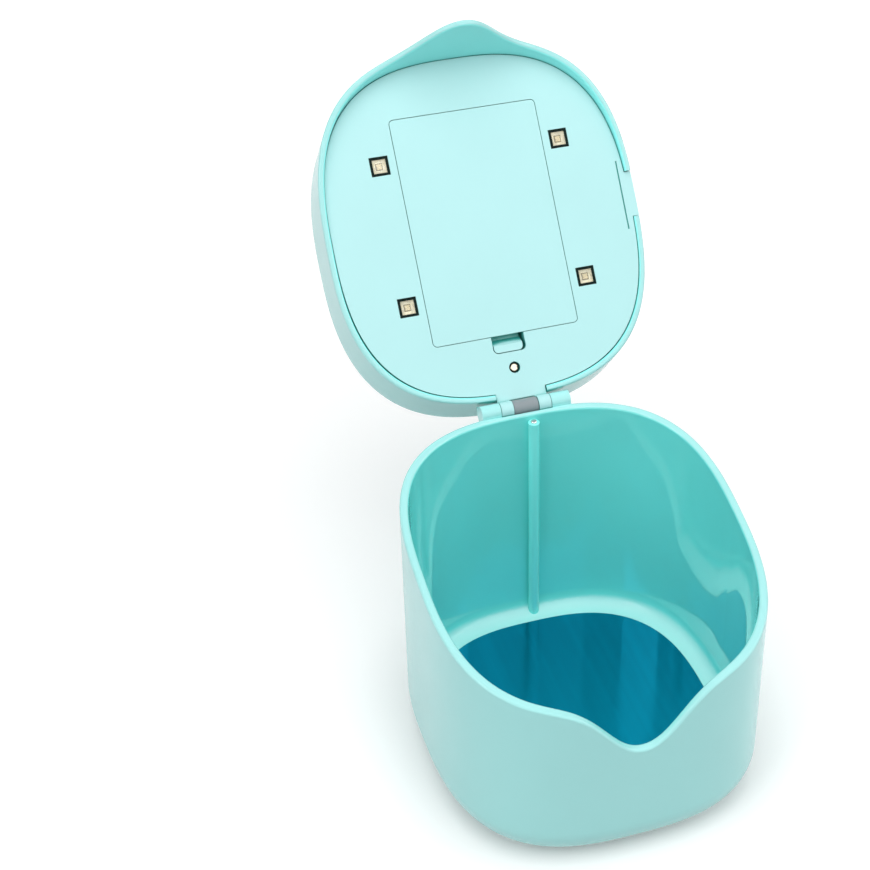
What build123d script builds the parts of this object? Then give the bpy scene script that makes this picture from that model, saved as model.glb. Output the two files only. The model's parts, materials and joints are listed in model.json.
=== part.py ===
"""Pacifier sterilizer case: a rounded box with a tilted, hinged lid that holds four UV
lamps, three AAA cells and their electronics. Millimetres, +Z up, front towards -Y.

The origin is the centre of the underside of the base pad. The lid is modelled shut and
then swung open about its hinge, so the model stands as the case does with its lid back.
Pieces inside the lid are drawn in the panel frame: origin on the hinge axis, X along the
hinge, -Y ahead of the hinge along the lid's inner panel, +Z deeper into the lid.
"""
from build123d import *
from math import cos, exp, pi, radians, sin, sqrt, tan
import os

# ---- driving dimensions -------------------------------------------------------------
BASE_WIDTH = 76.0
BASE_DEPTH = 82.2
OUTLINE_POWER = 2.75
OUTLINE_POINTS = 48
RIM_HEIGHT = 66.0
BASE_WALL = 1.9
BOTTOM_ROUND = 9.4
RIM_ROUND = 0.6

# parting surface between base and lid: a slope down to the front and a central notch
SLOPE_DROP = 19.8
SLOPE_START_Y = 48.0
SLOPE_POWER = 1.38
NOTCH_DROP = 13.6
NOTCH_HALF_WIDTH = 10.6
NOTCH_POWER = 2.16
NOTCH_EDGE_Y = -18.5
NOTCH_FADE = 3.0
PARTING_GAP = 0.3
SURFACE_MARGIN = 8.0
SURFACE_STEP = 2.6

# floor of the base
FLOOR_HEIGHT = 4.7
FLOOR_ROUND = 4.2
LEDGE_WIDTH = 4.4
PLATE_THICKNESS = 2.8
PLATE_GAP = 0.15
PAD_THICKNESS = 1.0
PAD_PROUD = 0.6
PAD_REACH = 1.0
PAD_GAP = 0.1

# post for the lid switch magnet, on the inside of the back wall
POST_X = 1.5
POST_RADIUS = 1.35
POST_OFF_WALL = 1.2
POST_BELOW_RIM = 1.4
MAGNET_RADIUS = 0.75
MAGNET_LENGTH = 4.0
MAGNET_PROUD = 0.5

# hinge
HINGE_X = 0.6
HINGE_BEHIND_WALL = 1.0
HINGE_BELOW_RIM = 0.45
KNUCKLE_RADIUS = 1.9
BASE_KNUCKLE_OUTER = 10.8
BASE_KNUCKLE_INNER = 6.2
LID_KNUCKLE_OUTER = 6.05
LID_KNUCKLE_INNER = 3.1
BUSH_HALF_LENGTH = 2.95
BUSH_RADIUS = 1.75
PIN_RADIUS = 0.75
PIN_HALF_LENGTH = 10.7
RUNNING_GAP = 0.05
KNUCKLE_GAP = 0.2
KNUCKLE_WEB_DROP = 7.0
KNUCKLE_WEB_BITE = 1.0
STOP_GAP = 0.06
STOP_LAND = 0.8
LID_OPEN_ANGLE = 139.5

# lid
LID_SIDE_STEP = 0.2
LID_FRONT_STEP = 0.2
LID_BACK_STEP = 1.4
LID_WALL = 1.45
LID_TOP = 1.6
LID_ABOVE_BOARD = 7.85
CROWN_RADIUS = 150.0
CROWN_ROUND = 6.0
PANEL_TILT = 11.0
PANEL_ABOVE_AXIS = 0.95
PANEL_THICKNESS = 1.6
SEAM_GAP = 0.15
TAB_THICKNESS = 0.95
TAB_AHEAD = 5.0

# side port
PORT_AHEAD = 44.9
PORT_TAB_HALF = 5.3
PORT_WIDTH = 8.94
PORT_HEIGHT = 3.26
PORT_DEPTH = 7.3
PORT_METAL = 0.3
PORT_GAP = 0.12
PORT_RECESS = 0.25
PORT_TONGUE = (4.6, 6.7, 0.7)
PANEL_LINE_HALF = 8.2
PANEL_LINE_INSET = 1.6
PANEL_LINE_SIZE = 0.35

# ultraviolet lamps
LED_BESIDE_TRAY = 3.6
LED_AHEAD_BACK = 27.5
LED_AHEAD_FRONT = 60.6
LED_SIZE = 3.5
LED_HEIGHT = 1.3
LED_RECESS = 0.3
LED_CAVITY_RIM = 0.5
LED_CAVITY_DEPTH = 0.7
LED_GLASS_RIM = 0.3
LED_GLASS_THICKNESS = 0.25
GASKET_WIDTH = 0.4
GASKET_LIP = 0.15
GASKET_LIP_THICKNESS = 0.25
GASKET_GAP = 0.05

# battery compartment, its door and the finger notch
CELL_RADIUS = 5.25
CELL_LENGTH = 44.5
CELL_GAP = 0.4
CELL_NUB_RADIUS = 1.9
CELL_NUB_LENGTH = 0.9
CELL_BODY_ROUND = 0.5
CELL_ABOVE_DOOR = 0.4
CELL_END_ROOM = 8.8
DOOR_SIDE_LEDGE = 1.05
DOOR_AHEAD_BACK = 17.3
DOOR_THICKNESS = 1.4
DOOR_CORNER = 1.0
TRAY_SIDE_ROOM = 0.45
TRAY_WALL = 1.6
TRAY_ROOF = 1.2
TRAY_ROOF_GAP = 0.35
TRAY_END_LEDGE = 1.2
TRAY_END_WALL = 1.6
DOOR_REST_GAP = 0.1
HOOK_WIDTH = 5.0
HOOK_LENGTH = 1.5
HOOK_THICKNESS = 1.0
NOTCH_X = 0.1
NOTCH_WIDTH = 8.0
NOTCH_LENGTH = 4.2
NOTCH_DEPTH = 3.9
NOTCH_CORNER = 1.2
NOTCH_SKIN = 1.0
LATCH_X = -0.15
LATCH_WIDTH = 7.0
LATCH_DEPTH = 3.4
LATCH_LEG = 0.8
LATCH_BEND = 0.5
LATCH_VALLEY_DEPTH = 2.5
LATCH_VALLEY_LENGTH = 2.3
LATCH_NOSE = 1.0
LATCH_RECESS = 0.15
LATCH_CORNER = 1.0
LATCH_END_GAP = 0.2

# battery contacts
CONTACT_THICKNESS = 0.4
CONTACT_WIDTH = 8.4
CONTACT_SHORTER_THAN_CELL = 2.1
CONTACT_TAB_WIDTH = 2.4
CONTACT_GAP = 0.05
SPRING_WIRE = 0.5
SPRING_RADIUS = 2.9
SPRING_TURNS = 4
SPRING_SEAT = 0.05
CONTACT_TAB_PROUD = 0.5

# circuit boards and what is on them
BOARD_THICKNESS = 1.0
BOARD_GAP = 0.05
BOARD_MARGIN = 2.4
LAMP_BOARD_BESIDE_TRAY = 0.8
LAMP_BOARD_BACK = 20.0
LAMP_BOARD_FRONT = 67.0
SENSOR_TOE_BACK = 11.2
SENSOR_TOE_FRONT = 16.6
SENSOR_TOE_X = 6.0
SENSOR_X = 8.0
SENSOR_SIZE = (2.9, 1.6, 1.1)
STAKE_RADIUS = 0.8
STAKE_AHEADS = (34.0, 54.0)
MAIN_BOARD_EDGE = 1.4
MAIN_BOARD_BEHIND_DOOR = -0.3
MAIN_BOARD_PAST_DOOR = 0.4
MAIN_BOARD_ABOVE_ROOF = 0.8
HEADER_INSET = 1.6
HEADER_AHEAD = 44.0
HEADER_PITCH = 2.54
HEADER_PIN = 0.64
HEADER_COLLAR_RADIUS = 0.77
HEADER_COLLAR_HEIGHT = 0.4
HEADER_PROUD = 1.0
HEADER_POSITIONS = (-1, 0, 1)
BOARD_SCREW_X = 12.5
BOARD_SCREW_AHEADS = (30.0, 58.0)
BOARD_BOSS_RADIUS = 2.2
SCREW_RADIUS = 0.7
SCREW_HEAD_RADIUS = 1.3
SCREW_HEAD_HEIGHT = 0.9
SCREW_SLOT_DEPTH = 0.4
SCREW_SLOT_WIDTH = 0.35
CHIP_X = -10.0
CHIP_AHEAD = 38.0
CHIP_SIZE = (5.0, 6.0, 1.5)
INDUCTOR_X = 11.5
INDUCTOR_AHEAD = 48.0
INDUCTOR_SIZE = (5.2, 5.2, 2.8)
INDUCTOR_CORNER = 1.2
CAPACITOR_SIZE = (1.6, 0.8, 0.8)
CAPACITOR_X = -10.0
CAPACITOR_FIRST_AHEAD = 46.0
CAPACITOR_STEP = 3.0
CAPACITOR_COUNT = 4

# screw that fixes the inner panel, next to the hinge
PANEL_SCREW_X = 0.35
PANEL_SCREW_AHEAD = 9.4
PANEL_SCREW_HEAD_RADIUS = 1.15
PANEL_SCREW_HOLE_RADIUS = 1.35
PANEL_SCREW_LENGTH = 7.0
PANEL_SCREW_RECESS = 0.5
PANEL_BOSS_RADIUS = 2.4
PANEL_STOP_RADIUS = 1.3
PANEL_STOP_COUNT = 8
PANEL_STOP_INSET = 0.9

# power button and indicator
BUTTON_RADIUS = 6.0
BUTTON_GAP = 0.2
BUTTON_FLANGE_LIP = 1.2
BUTTON_FLANGE_THICKNESS = 0.7
BUTTON_FLANGE_GAP = 0.3
BUTTON_PROUD = 0.5
BUTTON_DISH_RADIUS = 26.0
BUTTON_DISH_DEPTH = 0.45
BUTTON_STEM_RADIUS = 2.0
BUTTON_TRAVEL = 0.4
SWITCH_SIZE = 6.0
SWITCH_HEIGHT = 3.5
PLUNGER_RADIUS = 1.7
PLUNGER_GAP = 0.05
PLUNGER_DEPTH = 1.1
PLUNGER_PROUD = 0.9
TOUCH_GAP = 0.05
LENS_BESIDE_BUTTON = 5.0
LENS_RADIUS = 1.1
LENS_FLANGE_RADIUS = 1.9
LENS_FLANGE_THICKNESS = 0.8
INDICATOR_SIZE = (1.6, 1.2, 0.7)

# ---- derived dimensions -------------------------------------------------------------
HALF_WIDTH = BASE_WIDTH / 2
HALF_DEPTH = BASE_DEPTH / 2
HINGE_Y = HALF_DEPTH + HINGE_BEHIND_WALL
HINGE_Z = RIM_HEIGHT - HINGE_BELOW_RIM
LID_HALF_WIDTH = HALF_WIDTH - LID_SIDE_STEP
LID_HALF_DEPTH = HALF_DEPTH - (LID_FRONT_STEP + LID_BACK_STEP) / 2
LID_CENTER_Y = (LID_FRONT_STEP - LID_BACK_STEP) / 2
FACE = PANEL_ABOVE_AXIS
PANEL_BACK = FACE + PANEL_THICKNESS
DOOR_BACK = FACE + DOOR_THICKNESS
PANEL_HALF_WIDTH = LID_HALF_WIDTH - LID_WALL - SEAM_GAP
PANEL_HALF_DEPTH = LID_HALF_DEPTH - LID_WALL - SEAM_GAP
CELL_PITCH = 2 * CELL_RADIUS + CELL_GAP
TRAY_HALF_WIDTH = CELL_PITCH + CELL_RADIUS + TRAY_SIDE_ROOM
TRAY_OUTER_X = TRAY_HALF_WIDTH + TRAY_WALL
DOOR_WIDTH = 2 * (TRAY_HALF_WIDTH + DOOR_SIDE_LEDGE)
DOOR_AHEAD_FRONT = DOOR_AHEAD_BACK + CELL_LENGTH + CELL_END_ROOM
HOOK_X = CELL_PITCH / 2
LED_X = TRAY_OUTER_X + LED_BESIDE_TRAY
BUTTON_FLANGE_RADIUS = BUTTON_RADIUS + BUTTON_FLANGE_LIP
LENS_FROM_BUTTON = BUTTON_RADIUS + LENS_BESIDE_BUTTON
STAKE_X = LED_X
LED_CAVITY_RADIUS = LED_SIZE / 2 - LED_CAVITY_RIM
LED_GLASS_SIZE = LED_SIZE - 2 * LED_GLASS_RIM
GASKET_SIZE = LED_SIZE + 2 * (GASKET_GAP + GASKET_WIDTH)
LAMP_BOARD_INNER_X = TRAY_OUTER_X + LAMP_BOARD_BESIDE_TRAY
HEADER_X = LAMP_BOARD_INNER_X + HEADER_INSET
MAIN_BOARD_HALF_WIDTH = HEADER_X + MAIN_BOARD_EDGE
MAIN_BOARD_BACK = DOOR_AHEAD_BACK - MAIN_BOARD_BEHIND_DOOR
MAIN_BOARD_FRONT = DOOR_AHEAD_FRONT + MAIN_BOARD_PAST_DOOR
CELL_Z = DOOR_BACK + CELL_ABOVE_DOOR + CELL_RADIUS
CONTACT_HEIGHT = 2 * CELL_RADIUS - CONTACT_SHORTER_THAN_CELL
TRAY_ROOF_INNER = CELL_Z + CELL_RADIUS + TRAY_ROOF_GAP
TRAY_ROOF_OUTER = TRAY_ROOF_INNER + TRAY_ROOF
TRAY_BACK_Y = -(DOOR_AHEAD_BACK + TRAY_END_LEDGE)
TRAY_FRONT_Y = -(DOOR_AHEAD_FRONT - TRAY_END_LEDGE)
LAMP_BOARD_Z = PANEL_BACK + BOARD_GAP
LAMP_BOARD_TOP = LAMP_BOARD_Z + BOARD_THICKNESS
MAIN_BOARD_Z = TRAY_ROOF_OUTER + MAIN_BOARD_ABOVE_ROOF
MAIN_BOARD_TOP = MAIN_BOARD_Z + BOARD_THICKNESS
PORT_Z = LAMP_BOARD_TOP + BOARD_GAP + PORT_HEIGHT / 2
TILT = radians(PANEL_TILT)
FACE_Z_AT_CENTER = HINGE_Z + FACE / cos(TILT) - (HINGE_Y - LID_CENTER_Y) * tan(TILT)
CROWN_Y = ((LID_CENTER_Y - HINGE_Y) * cos(TILT)
           + (FACE_Z_AT_CENTER - HINGE_Z) * sin(TILT))
CROWN_APEX = MAIN_BOARD_TOP + LID_ABOVE_BOARD
TALL = 140.0
FAR = 120.0
OVERCUT = 1.0
SINK = 0.5


# ---- helpers ------------------------------------------------------------------------
def box(x_low, x_high, y_low, y_high, z_low, z_high):
    """A block between two corners."""
    middle = Pos((x_low + x_high) / 2, (y_low + y_high) / 2, (z_low + z_high) / 2)
    return middle * Box(x_high - x_low, y_high - y_low, z_high - z_low)


def post(x, y, z_low, z_high, radius):
    """A round post along Z."""
    return Pos(x, y, (z_low + z_high) / 2) * Cylinder(radius, z_high - z_low)


def bar(x_low, x_high, y, z, radius):
    """A round bar along X."""
    return Pos((x_low + x_high) / 2, y, z) * Rot(Y=90) * Cylinder(radius, x_high - x_low)


def outline(half_width, half_depth, center_y=0.0):
    """The rounded-square plan of the case, as a smooth closed face."""
    points = []
    for step in range(OUTLINE_POINTS):
        angle = 2 * pi * step / OUTLINE_POINTS
        across = abs(cos(angle) / half_width) ** OUTLINE_POWER
        along = abs(sin(angle) / half_depth) ** OUTLINE_POWER
        radius = (across + along) ** (-1 / OUTLINE_POWER)
        points.append((radius * cos(angle), radius * sin(angle) + center_y))
    return make_face(Spline(*points, periodic=True))


def prism(half_width, half_depth, center_y, z_low, z_high):
    """The plan of the case, extruded between two heights."""
    return Pos(0, 0, z_low) * extrude(outline(half_width, half_depth, center_y), z_high - z_low)


def parting_height(x, y):
    """Height of the seam between base and lid over a point of the plan."""
    share = max(0.0, (SLOPE_START_Y - y) / (SLOPE_START_Y + HALF_DEPTH))
    front = 1 / (1 + exp((y - NOTCH_EDGE_Y) / NOTCH_FADE))
    notch = NOTCH_DROP * exp(-(abs(x) / NOTCH_HALF_WIDTH) ** NOTCH_POWER)
    return RIM_HEIGHT - SLOPE_DROP * share ** SLOPE_POWER - front * notch


def below_parting(offset):
    """Everything under the seam surface, which is first moved up by an offset."""
    reach_x = HALF_WIDTH + SURFACE_MARGIN
    reach_y = HALF_DEPTH + SURFACE_MARGIN
    count_x = round(2 * reach_x / SURFACE_STEP)
    count_y = round(2 * reach_y / SURFACE_STEP)
    rows = []
    for i in range(count_x + 1):
        x = -reach_x + 2 * reach_x * i / count_x
        row = []
        for j in range(count_y + 1):
            y = -reach_y + 2 * reach_y * j / count_y
            row.append(Vector(x, y, parting_height(x, y) + offset))
        rows.append(row)
    surface = Face.make_surface_from_array_of_points(rows, tol=0.005)
    return Solid.extrude(surface, Vector(0, 0, -TALL))


def lowest_edges(solid):
    return solid.edges().group_by(Axis.Z)[0]


def rim_edges(solid):
    """Edges that run right round the case, the lowest first."""
    return solid.edges().filter_by(lambda e: e.length > BASE_WIDTH + BASE_DEPTH).sort_by(Axis.Z)


def from_panel(shape):
    """Moves a shape from the panel frame into the shut case."""
    return Pos(0, HINGE_Y, HINGE_Z) * Rot(X=PANEL_TILT) * shape


def swing_open(shape):
    """Turns a piece of the shut lid about the hinge to where the open lid rests."""
    return Pos(0, HINGE_Y, HINGE_Z) * Rot(X=-LID_OPEN_ANGLE) * Pos(0, -HINGE_Y, -HINGE_Z) * shape


def in_lid(shape):
    """Places a piece drawn in the panel frame in the open lid."""
    return swing_open(from_panel(shape))


def panel_slab(z_low, z_high):
    """The layer of the shut lid between two depths of the panel frame."""
    return from_panel(box(-FAR, FAR, -FAR, FAR, z_low, z_high))


def crown_ball(inset):
    """The ball whose cap is the lid's crowned top, in the shut case."""
    ball = Sphere(CROWN_RADIUS - inset)
    return from_panel(Pos(0, CROWN_Y, CROWN_APEX - CROWN_RADIUS) * ball)


def ring_point(half_width, half_depth, center_y, angle):
    """A point of the plan's outline."""
    across = abs(cos(angle) / half_width) ** OUTLINE_POWER
    along = abs(sin(angle) / half_depth) ** OUTLINE_POWER
    radius = (across + along) ** (-1 / OUTLINE_POWER)
    return radius * cos(angle), radius * sin(angle) + center_y


# ---- base ---------------------------------------------------------------------------
def lid_stop_reach():
    """How far behind the axis the webs end, where the open lid's back wall rests on them."""
    share = 1 - (BASE_KNUCKLE_INNER / LID_HALF_WIDTH) ** OUTLINE_POWER
    lid_back = LID_HALF_DEPTH * share ** (1 / OUTLINE_POWER) + LID_CENTER_Y
    return (HINGE_Y - lid_back - STOP_GAP) / cos(radians(180 - LID_OPEN_ANGLE))


def base_knuckles():
    """Two barrels behind the back wall, each on a web that ends in the lid's stop."""
    top = HINGE_Z
    bite = HALF_DEPTH - KNUCKLE_WEB_BITE
    back = HINGE_Y + lid_stop_reach()
    profile = make_face(Polyline(
        (bite, top - KNUCKLE_WEB_DROP), (back, top - STOP_LAND),
        (back, top), (bite, top), close=True))
    knuckles = None
    for x_low, x_high in (
            (HINGE_X - BASE_KNUCKLE_OUTER, HINGE_X - BASE_KNUCKLE_INNER),
            (HINGE_X + BASE_KNUCKLE_INNER, HINGE_X + BASE_KNUCKLE_OUTER)):
        web = Pos(x_low, 0, 0) * extrude(Plane.YZ * profile, x_high - x_low)
        barrel = bar(x_low, x_high, HINGE_Y, HINGE_Z, KNUCKLE_RADIUS)
        knuckle = web + barrel
        knuckles = knuckle if knuckles is None else knuckles + knuckle
    return knuckles


def post_center_y():
    return HALF_DEPTH - BASE_WALL - POST_OFF_WALL


def post_top():
    return parting_height(POST_X, post_center_y()) - PARTING_GAP / 2 - POST_BELOW_RIM


def base_shell():
    """The one-piece moulded box with its magnet post and hinge knuckles."""
    body = prism(HALF_WIDTH, HALF_DEPTH, 0, PAD_PROUD, TALL)
    body = fillet(lowest_edges(body), BOTTOM_ROUND)
    cavity = prism(HALF_WIDTH - BASE_WALL, HALF_DEPTH - BASE_WALL, 0, FLOOR_HEIGHT, TALL)
    cavity = fillet(lowest_edges(cavity), FLOOR_ROUND)
    shell = (body - cavity) & below_parting(-PARTING_GAP / 2)
    shell = fillet(rim_edges(shell)[-2:], RIM_ROUND)
    magnet_post = post(POST_X, post_center_y(), FLOOR_HEIGHT, post_top(), POST_RADIUS)
    within = prism(HALF_WIDTH - BASE_WALL / 2, HALF_DEPTH - BASE_WALL / 2, 0, 0, TALL)
    shell += magnet_post & within
    shell += base_knuckles()
    inset = BASE_WALL + LEDGE_WIDTH
    shell -= prism(HALF_WIDTH - inset, HALF_DEPTH - inset, 0,
                   FLOOR_HEIGHT - PLATE_THICKNESS, FLOOR_HEIGHT + PLATE_THICKNESS)
    shell -= prism(pad_half_width() + PAD_GAP, pad_half_depth() + PAD_GAP, 0, 0, PAD_THICKNESS)
    shell -= post(POST_X, post_center_y(), magnet_low(), RIM_HEIGHT, MAGNET_RADIUS)
    shell -= bar(HINGE_X - BASE_KNUCKLE_INNER, HINGE_X + BASE_KNUCKLE_INNER,
                 HINGE_Y, HINGE_Z, KNUCKLE_RADIUS + KNUCKLE_GAP)
    shell -= bar(HINGE_X - PIN_HALF_LENGTH, HINGE_X + PIN_HALF_LENGTH,
                 HINGE_Y, HINGE_Z, PIN_RADIUS)
    return shell


def magnet_low():
    return post_top() + MAGNET_PROUD - MAGNET_LENGTH


def switch_magnet():
    """Rod magnet in the top of the post, which tells the lid that it is shut."""
    magnet = post(POST_X, post_center_y(), magnet_low(), magnet_low() + MAGNET_LENGTH, MAGNET_RADIUS)
    return fillet(magnet.edges().group_by(Axis.Z)[-1], MAGNET_RADIUS / 3)


def mirror_plate():
    """Polished plate let into the floor of the base."""
    inset = BASE_WALL + LEDGE_WIDTH + PLATE_GAP
    return prism(HALF_WIDTH - inset, HALF_DEPTH - inset, 0,
                 FLOOR_HEIGHT - PLATE_THICKNESS, FLOOR_HEIGHT)


def pad_half_width():
    return HALF_WIDTH - BOTTOM_ROUND + PAD_REACH


def pad_half_depth():
    return HALF_DEPTH - BOTTOM_ROUND + PAD_REACH


def base_pad():
    """Rubber pad that the case stands on."""
    return prism(pad_half_width(), pad_half_depth(), 0, 0, PAD_THICKNESS)


def hinge_pin():
    return bar(HINGE_X - PIN_HALF_LENGTH, HINGE_X + PIN_HALF_LENGTH, HINGE_Y, HINGE_Z, PIN_RADIUS)


def hinge_bush():
    """Grey sleeve on the pin, between the lid's two knuckles."""
    low, high = HINGE_X - BUSH_HALF_LENGTH, HINGE_X + BUSH_HALF_LENGTH
    return bar(low, high, HINGE_Y, HINGE_Z, BUSH_RADIUS) - bar(low, high, HINGE_Y, HINGE_Z, PIN_RADIUS)


# ---- lid shell ----------------------------------------------------------------------
def port_wall_block(half, z_low, z_high, from_x):
    """A block through the right-hand wall at the port, in the shut case."""
    return from_panel(box(from_x, FAR, -PORT_AHEAD - half, -PORT_AHEAD + half, z_low, z_high))


def port_opening():
    """Round-ended hole through the right-hand wall, in the shut case."""
    height = PORT_HEIGHT + 2 * PORT_GAP
    length = PORT_WIDTH + 2 * PORT_GAP
    slot = SlotOverall(length, height)
    hole = Plane.YZ * slot
    hole = extrude(hole, TALL)
    return from_panel(Pos(PANEL_HALF_WIDTH - PORT_DEPTH, -PORT_AHEAD, PORT_Z) * hole)


def lid_shell():
    """The crowned outer shell with its skirt and front tongue."""
    outer = prism(LID_HALF_WIDTH, LID_HALF_DEPTH, LID_CENTER_Y, 0, TALL) & crown_ball(0)
    outer = fillet(rim_edges(outer)[-1], CROWN_ROUND)
    inner = prism(LID_HALF_WIDTH - LID_WALL, LID_HALF_DEPTH - LID_WALL, LID_CENTER_Y,
                  0, TALL) & crown_ball(LID_TOP)
    inner = fillet(rim_edges(inner)[-1], CROWN_ROUND - LID_WALL)
    under = below_parting(PARTING_GAP / 2)
    shell = outer - inner - under
    shell = fillet(rim_edges(shell)[:2], RIM_ROUND)
    for number in range(PANEL_STOP_COUNT):
        angle = 2 * pi * (number + 0.5) / PANEL_STOP_COUNT
        x, y = ring_point(LID_HALF_WIDTH - LID_WALL - PANEL_STOP_INSET,
                          LID_HALF_DEPTH - LID_WALL - PANEL_STOP_INSET, LID_CENTER_Y, angle)
        stop = post(x, y, 0, TALL, PANEL_STOP_RADIUS)
        shell += stop & outer & panel_slab(PANEL_BACK + BOARD_GAP, FAR)
    boss = post(PANEL_SCREW_X, -PANEL_SCREW_AHEAD, PANEL_BACK + BOARD_GAP, FAR, PANEL_BOSS_RADIUS)
    shell += from_panel(boss) & outer
    shell -= from_panel(post(PANEL_SCREW_X, -PANEL_SCREW_AHEAD, 0, panel_screw_tip(), SCREW_RADIUS))
    shell -= from_panel(box(HINGE_X - LID_KNUCKLE_OUTER - KNUCKLE_GAP,
                            HINGE_X + LID_KNUCKLE_OUTER + KNUCKLE_GAP,
                            -TAB_AHEAD, FAR, -FAR, PANEL_BACK + KNUCKLE_GAP))
    shell -= port_wall_block(PORT_TAB_HALF + SEAM_GAP, -FAR, PANEL_BACK + BOARD_GAP, 0)
    shell -= port_opening()
    shell -= from_panel(post(0, CROWN_Y, MAIN_BOARD_TOP, FAR, BUTTON_RADIUS + BUTTON_GAP))
    shell -= from_panel(post(0, CROWN_Y - LENS_FROM_BUTTON, MAIN_BOARD_TOP, FAR,
                             LENS_RADIUS + BOARD_GAP))
    return swing_open(shell)


def panel_screw_tip():
    return FACE + PANEL_SCREW_RECESS + PANEL_SCREW_LENGTH


# ---- lid inner panel ----------------------------------------------------------------
def door_opening(gap, z_low, z_high):
    """The battery door's plan, grown by a gap, between two depths."""
    length = DOOR_AHEAD_FRONT - DOOR_AHEAD_BACK
    plan = RectangleRounded(DOOR_WIDTH + 2 * gap, length + 2 * gap, DOOR_CORNER + gap)
    middle = -(DOOR_AHEAD_FRONT + DOOR_AHEAD_BACK) / 2
    return Pos(0, middle, z_low) * extrude(plan, z_high - z_low)


def finger_notch():
    """Round-cornered hollow behind the door's back edge, for the latch and a fingertip."""
    front = TRAY_BACK_Y - NOTCH_CORNER
    back = -DOOR_AHEAD_BACK + NOTCH_LENGTH
    plan = RectangleRounded(NOTCH_WIDTH, back - front, NOTCH_CORNER)
    return Pos(NOTCH_X, (front + back) / 2, 0) * extrude(plan, FACE + NOTCH_DEPTH)


def tray():
    """Walls and roof of the battery compartment."""
    half = TRAY_HALF_WIDTH
    outer = box(-TRAY_OUTER_X, TRAY_OUTER_X, TRAY_FRONT_Y - TRAY_END_WALL,
                TRAY_BACK_Y + TRAY_END_WALL, DOOR_BACK + DOOR_REST_GAP, TRAY_ROOF_OUTER)
    inner = box(-half, half, TRAY_FRONT_Y, TRAY_BACK_Y, 0, TRAY_ROOF_INNER)
    tray_walls = outer - inner
    for side in (-1, 1):
        for ahead in BOARD_SCREW_AHEADS:
            tray_walls += post(side * BOARD_SCREW_X, -ahead, TRAY_ROOF_INNER, MAIN_BOARD_Z,
                               BOARD_BOSS_RADIUS)
    return tray_walls


def hook_slots():
    """Windows in the tray's front wall and rest for the door's two hooks."""
    slots = None
    for side in (-1, 1):
        x = side * HOOK_X
        slot = box(x - HOOK_WIDTH / 2 - SEAM_GAP, x + HOOK_WIDTH / 2 + SEAM_GAP,
                   TRAY_FRONT_Y - TRAY_END_WALL, TRAY_FRONT_Y, DOOR_BACK,
                   PANEL_BACK + 2 * HOOK_THICKNESS)
        slots = slot if slots is None else slots + slot
    return slots


def contact_slots():
    """Slots in the tray's roof for the solder tabs of the outer contacts."""
    slots = None
    for x, y, _ in contact_places():
        slot = box(x - CONTACT_TAB_WIDTH / 2 - SEAM_GAP, x + CONTACT_TAB_WIDTH / 2 + SEAM_GAP,
                   y - CONTACT_THICKNESS / 2 - CONTACT_GAP, y + CONTACT_THICKNESS / 2 + CONTACT_GAP,
                   TRAY_ROOF_INNER - OVERCUT, MAIN_BOARD_TOP + OVERCUT)
        slots = slot if slots is None else slots + slot
    return slots


def hinge_tab():
    """Two knuckles on a tab that reaches back from the panel, with a gap for the bush."""
    low, high = HINGE_X - LID_KNUCKLE_OUTER, HINGE_X + LID_KNUCKLE_OUTER
    tab = box(low, high, -TAB_AHEAD, 0, FACE, FACE + TAB_THICKNESS)
    tab += bar(low, high, 0, 0, KNUCKLE_RADIUS)
    gap_low, gap_high = HINGE_X - LID_KNUCKLE_INNER, HINGE_X + LID_KNUCKLE_INNER
    tab -= box(gap_low, gap_high, -KNUCKLE_RADIUS - KNUCKLE_GAP, FAR, -FAR, FAR)
    return tab - bar(low, high, 0, 0, PIN_RADIUS + RUNNING_GAP)


def lid_panel():
    """The flat inner panel: lamp windows, battery tray, hinge tab and port tab."""
    plate = prism(PANEL_HALF_WIDTH, PANEL_HALF_DEPTH, LID_CENTER_Y, 0, TALL)
    layer = panel_slab(FACE, PANEL_BACK)
    plate = plate & layer
    full_plan = prism(LID_HALF_WIDTH, LID_HALF_DEPTH, LID_CENTER_Y, 0, TALL)
    port_tab = port_wall_block(PORT_TAB_HALF, FACE, PANEL_BACK, PANEL_HALF_WIDTH - PORT_DEPTH)
    plate += port_tab & full_plan
    cut = panel_cuts()
    plate = plate - from_panel(cut)
    solid = plate + from_panel(panel_adds())
    return swing_open(solid)


def panel_adds():
    """Everything that stands behind the panel, in the panel frame."""
    back = -DOOR_AHEAD_BACK + NOTCH_LENGTH + NOTCH_SKIN
    notch_box = box(NOTCH_X - NOTCH_WIDTH / 2 - NOTCH_SKIN, NOTCH_X + NOTCH_WIDTH / 2 + NOTCH_SKIN,
                    TRAY_BACK_Y, back, PANEL_BACK - SINK, FACE + NOTCH_DEPTH + NOTCH_SKIN)
    adds = tray() + notch_box
    for side in (-1, 1):
        for ahead in STAKE_AHEADS:
            adds += post(side * STAKE_X, -ahead, PANEL_BACK - SINK,
                         LAMP_BOARD_TOP + STAKE_RADIUS, STAKE_RADIUS)
    adds = adds - finger_notch() - door_opening(SEAM_GAP, 0, DOOR_BACK + DOOR_REST_GAP)
    adds = adds - hook_slots() - contact_slots() - board_screw_holes()
    return adds + hinge_tab()


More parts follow.
